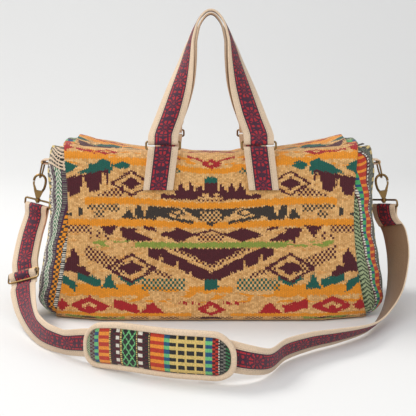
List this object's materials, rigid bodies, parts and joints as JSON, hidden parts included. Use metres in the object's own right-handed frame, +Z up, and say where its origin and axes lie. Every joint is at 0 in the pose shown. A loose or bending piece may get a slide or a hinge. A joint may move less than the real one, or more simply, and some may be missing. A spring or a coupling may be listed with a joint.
{
  "type": "travel duffel bag",
  "caption": "Soft duffel travel bag in woven patterned cloth, with a top zip, webbing handles on rectangular rings and a clip-on shoulder strap with a pad.",
  "frame": {"origin": "middle of the bag's flat base, on the floor", "axes": "+X to the right along the bag's length as seen from the front, +Y to the back, +Z up"},
  "size_m": [0.6333, 0.554, 0.4711],
  "materials": {
    "woven_textile": "knit-like woven cotton in tan with maroon, mustard, teal, charcoal and red rows",
    "striped_textile": "narrow woven stripes in green, maroon, blue and cream",
    "dark_cloth": "dark woven tape",
    "banded_webbing": "cream canvas webbing with a red and navy woven band",
    "cream_canvas": "cream cotton binding",
    "board": "matte stiffening board",
    "aged_bronze": "aged bronze plate, satin"
  },
  "bodies": {
    "bag": {"body_wrap": "woven_textile", "left_end_panel": "striped_textile", "right_end_panel": "striped_textile", "base_board": "board", "zip_tape_front": "dark_cloth", "zip_tape_rear": "dark_cloth", "zip_row_front": "aged_bronze", "zip_row_rear": "aged_bronze", "zip_top_stop_front": "aged_bronze", "zip_top_stop_rear": "aged_bronze", "zip_bottom_stop": "aged_bronze", "zip_end_tab_left": "dark_cloth", "zip_end_tab_right": "dark_cloth", "front_left_tab": "banded_webbing", "front_right_tab": "banded_webbing", "rear_left_tab": "banded_webbing", "rear_right_tab": "banded_webbing", "left_side_loop": "banded_webbing", "right_side_loop": "banded_webbing", "left_strap_eye": "aged_bronze", "right_strap_eye": "aged_bronze", "shoulder_strap": "banded_webbing", "strap_adjuster": "aged_bronze", "shoulder_pad": "striped_textile", "pad_binding": "cream_canvas", "pad_keeper_left": "banded_webbing", "pad_keeper_right": "banded_webbing"},
    "slider": {"zip_slider": "aged_bronze"},
    "pull": {"zip_pull": "aged_bronze"},
    "front_rings": {"front_left_ring": "aged_bronze", "front_right_ring": "aged_bronze"},
    "rear_rings": {"rear_left_ring": "aged_bronze", "rear_right_ring": "aged_bronze"},
    "front_grip": {"front_handle": "banded_webbing"},
    "rear_grip": {"rear_handle": "banded_webbing"},
    "left_ring": {"left_side_ring": "aged_bronze"},
    "right_ring": {"right_side_ring": "aged_bronze"},
    "left_hook": {"left_hook_body": "aged_bronze", "left_gate_pin": "aged_bronze"},
    "right_hook": {"right_hook_body": "aged_bronze", "right_gate_pin": "aged_bronze"},
    "left_gate": {"left_hook_gate": "aged_bronze"},
    "right_gate": {"right_hook_gate": "aged_bronze"}
  },
  "joints": [
    {"name": "zip_slide", "type": "slide", "parent": "bag", "child": "slider", "axis": [1, 0, 0], "range_m": [-0.341, 0]},
    {"name": "pull_hinge", "type": "hinge", "parent": "slider", "child": "pull", "pos_m": [0.172, 0, 0.2448], "axis": [0, 1, 0], "range_deg": [0, 165]},
    {"name": "front_ring_hinge", "type": "hinge", "parent": "bag", "child": "front_rings", "pos_m": [0, -0.11804, 0.262], "axis": [1, 0, 0], "range_deg": [0, 120]},
    {"name": "front_handle_hinge", "type": "hinge", "parent": "front_rings", "child": "front_grip", "pos_m": [0, -0.11355, 0.27313], "axis": [1, 0, 0], "range_deg": [0, 70]},
    {"name": "rear_ring_hinge", "type": "hinge", "parent": "bag", "child": "rear_rings", "pos_m": [0, 0.1164, 0.262], "axis": [-1, 0, 0], "range_deg": [0, 120]},
    {"name": "rear_handle_hinge", "type": "hinge", "parent": "rear_rings", "child": "rear_grip", "pos_m": [0, 0.1119, 0.27313], "axis": [-1, 0, 0], "range_deg": [0, 70]},
    {"name": "left_ring_swing", "type": "hinge", "parent": "bag", "child": "left_ring", "pos_m": [-0.26913, 0, 0.231], "axis": [0, 1, 0], "range_deg": [-5, 2]},
    {"name": "right_ring_swing", "type": "hinge", "parent": "bag", "child": "right_ring", "pos_m": [0.26913, 0, 0.231], "axis": [0, -1, 0], "range_deg": [-5, 2]},
    {"name": "left_hook_swivel", "type": "hinge", "parent": "bag", "child": "left_hook", "pos_m": [-0.27502, 0, 0.20936], "axis": [0.1392, 0, 0.9903], "range_deg": [-12, 12]},
    {"name": "right_hook_swivel", "type": "hinge", "parent": "bag", "child": "right_hook", "pos_m": [0.27502, 0, 0.20936], "axis": [-0.1392, 0, 0.9903], "range_deg": [-12, 12]},
    {"name": "left_gate_hinge", "type": "hinge", "parent": "left_hook", "child": "left_gate", "pos_m": [-0.28327, 0, 0.18083], "axis": [0, 1, 0], "range_deg": [0, 25], "stiffness_Nm_per_rad": 0.01, "springref_deg": -17.19},
    {"name": "right_gate_hinge", "type": "hinge", "parent": "right_hook", "child": "right_gate", "pos_m": [0.28327, 0, 0.18083], "axis": [0, -1, 0], "range_deg": [0, 25], "stiffness_Nm_per_rad": 0.01, "springref_deg": -17.19}
  ]
}
